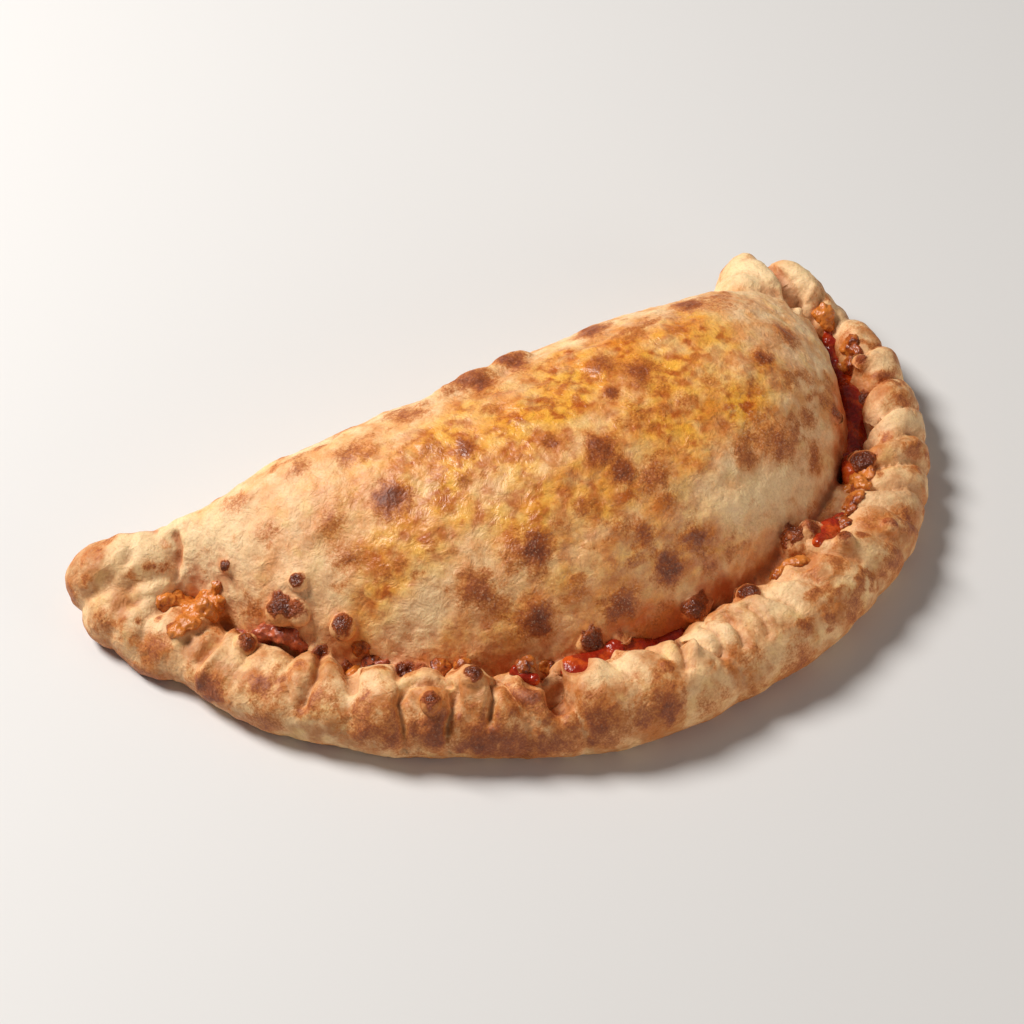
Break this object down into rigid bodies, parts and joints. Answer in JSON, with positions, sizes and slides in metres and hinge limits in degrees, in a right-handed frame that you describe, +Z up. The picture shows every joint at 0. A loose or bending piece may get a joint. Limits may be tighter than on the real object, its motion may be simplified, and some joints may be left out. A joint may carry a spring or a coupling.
{
  "type": "calzone",
  "caption": "Baked calzone: a domed half disc of folded pizza dough, closed along its curved edge by a thick pleated rope with a curled end, resting flat.",
  "frame": {"origin": "centre of the footprint's bounding box, on the flat underside", "axes": "+X along the fold from the curled knob towards the horn, +Y from the pleated rope towards the fold, +Z up"},
  "size_m": [0.2958, 0.1588, 0.057],
  "materials": {
    "baked_dough": "baked bread crust, golden to toasted brown, satin where oiled and floury matt elsewhere",
    "tomato_sauce": "wet tomato sauce that has boiled out along the seam",
    "browned_cheese": "melted cheese baked crisp, orange to charred brown"
  },
  "bodies": {
    "root": {"calzone": "baked_dough"}
  },
  "joints": []
}
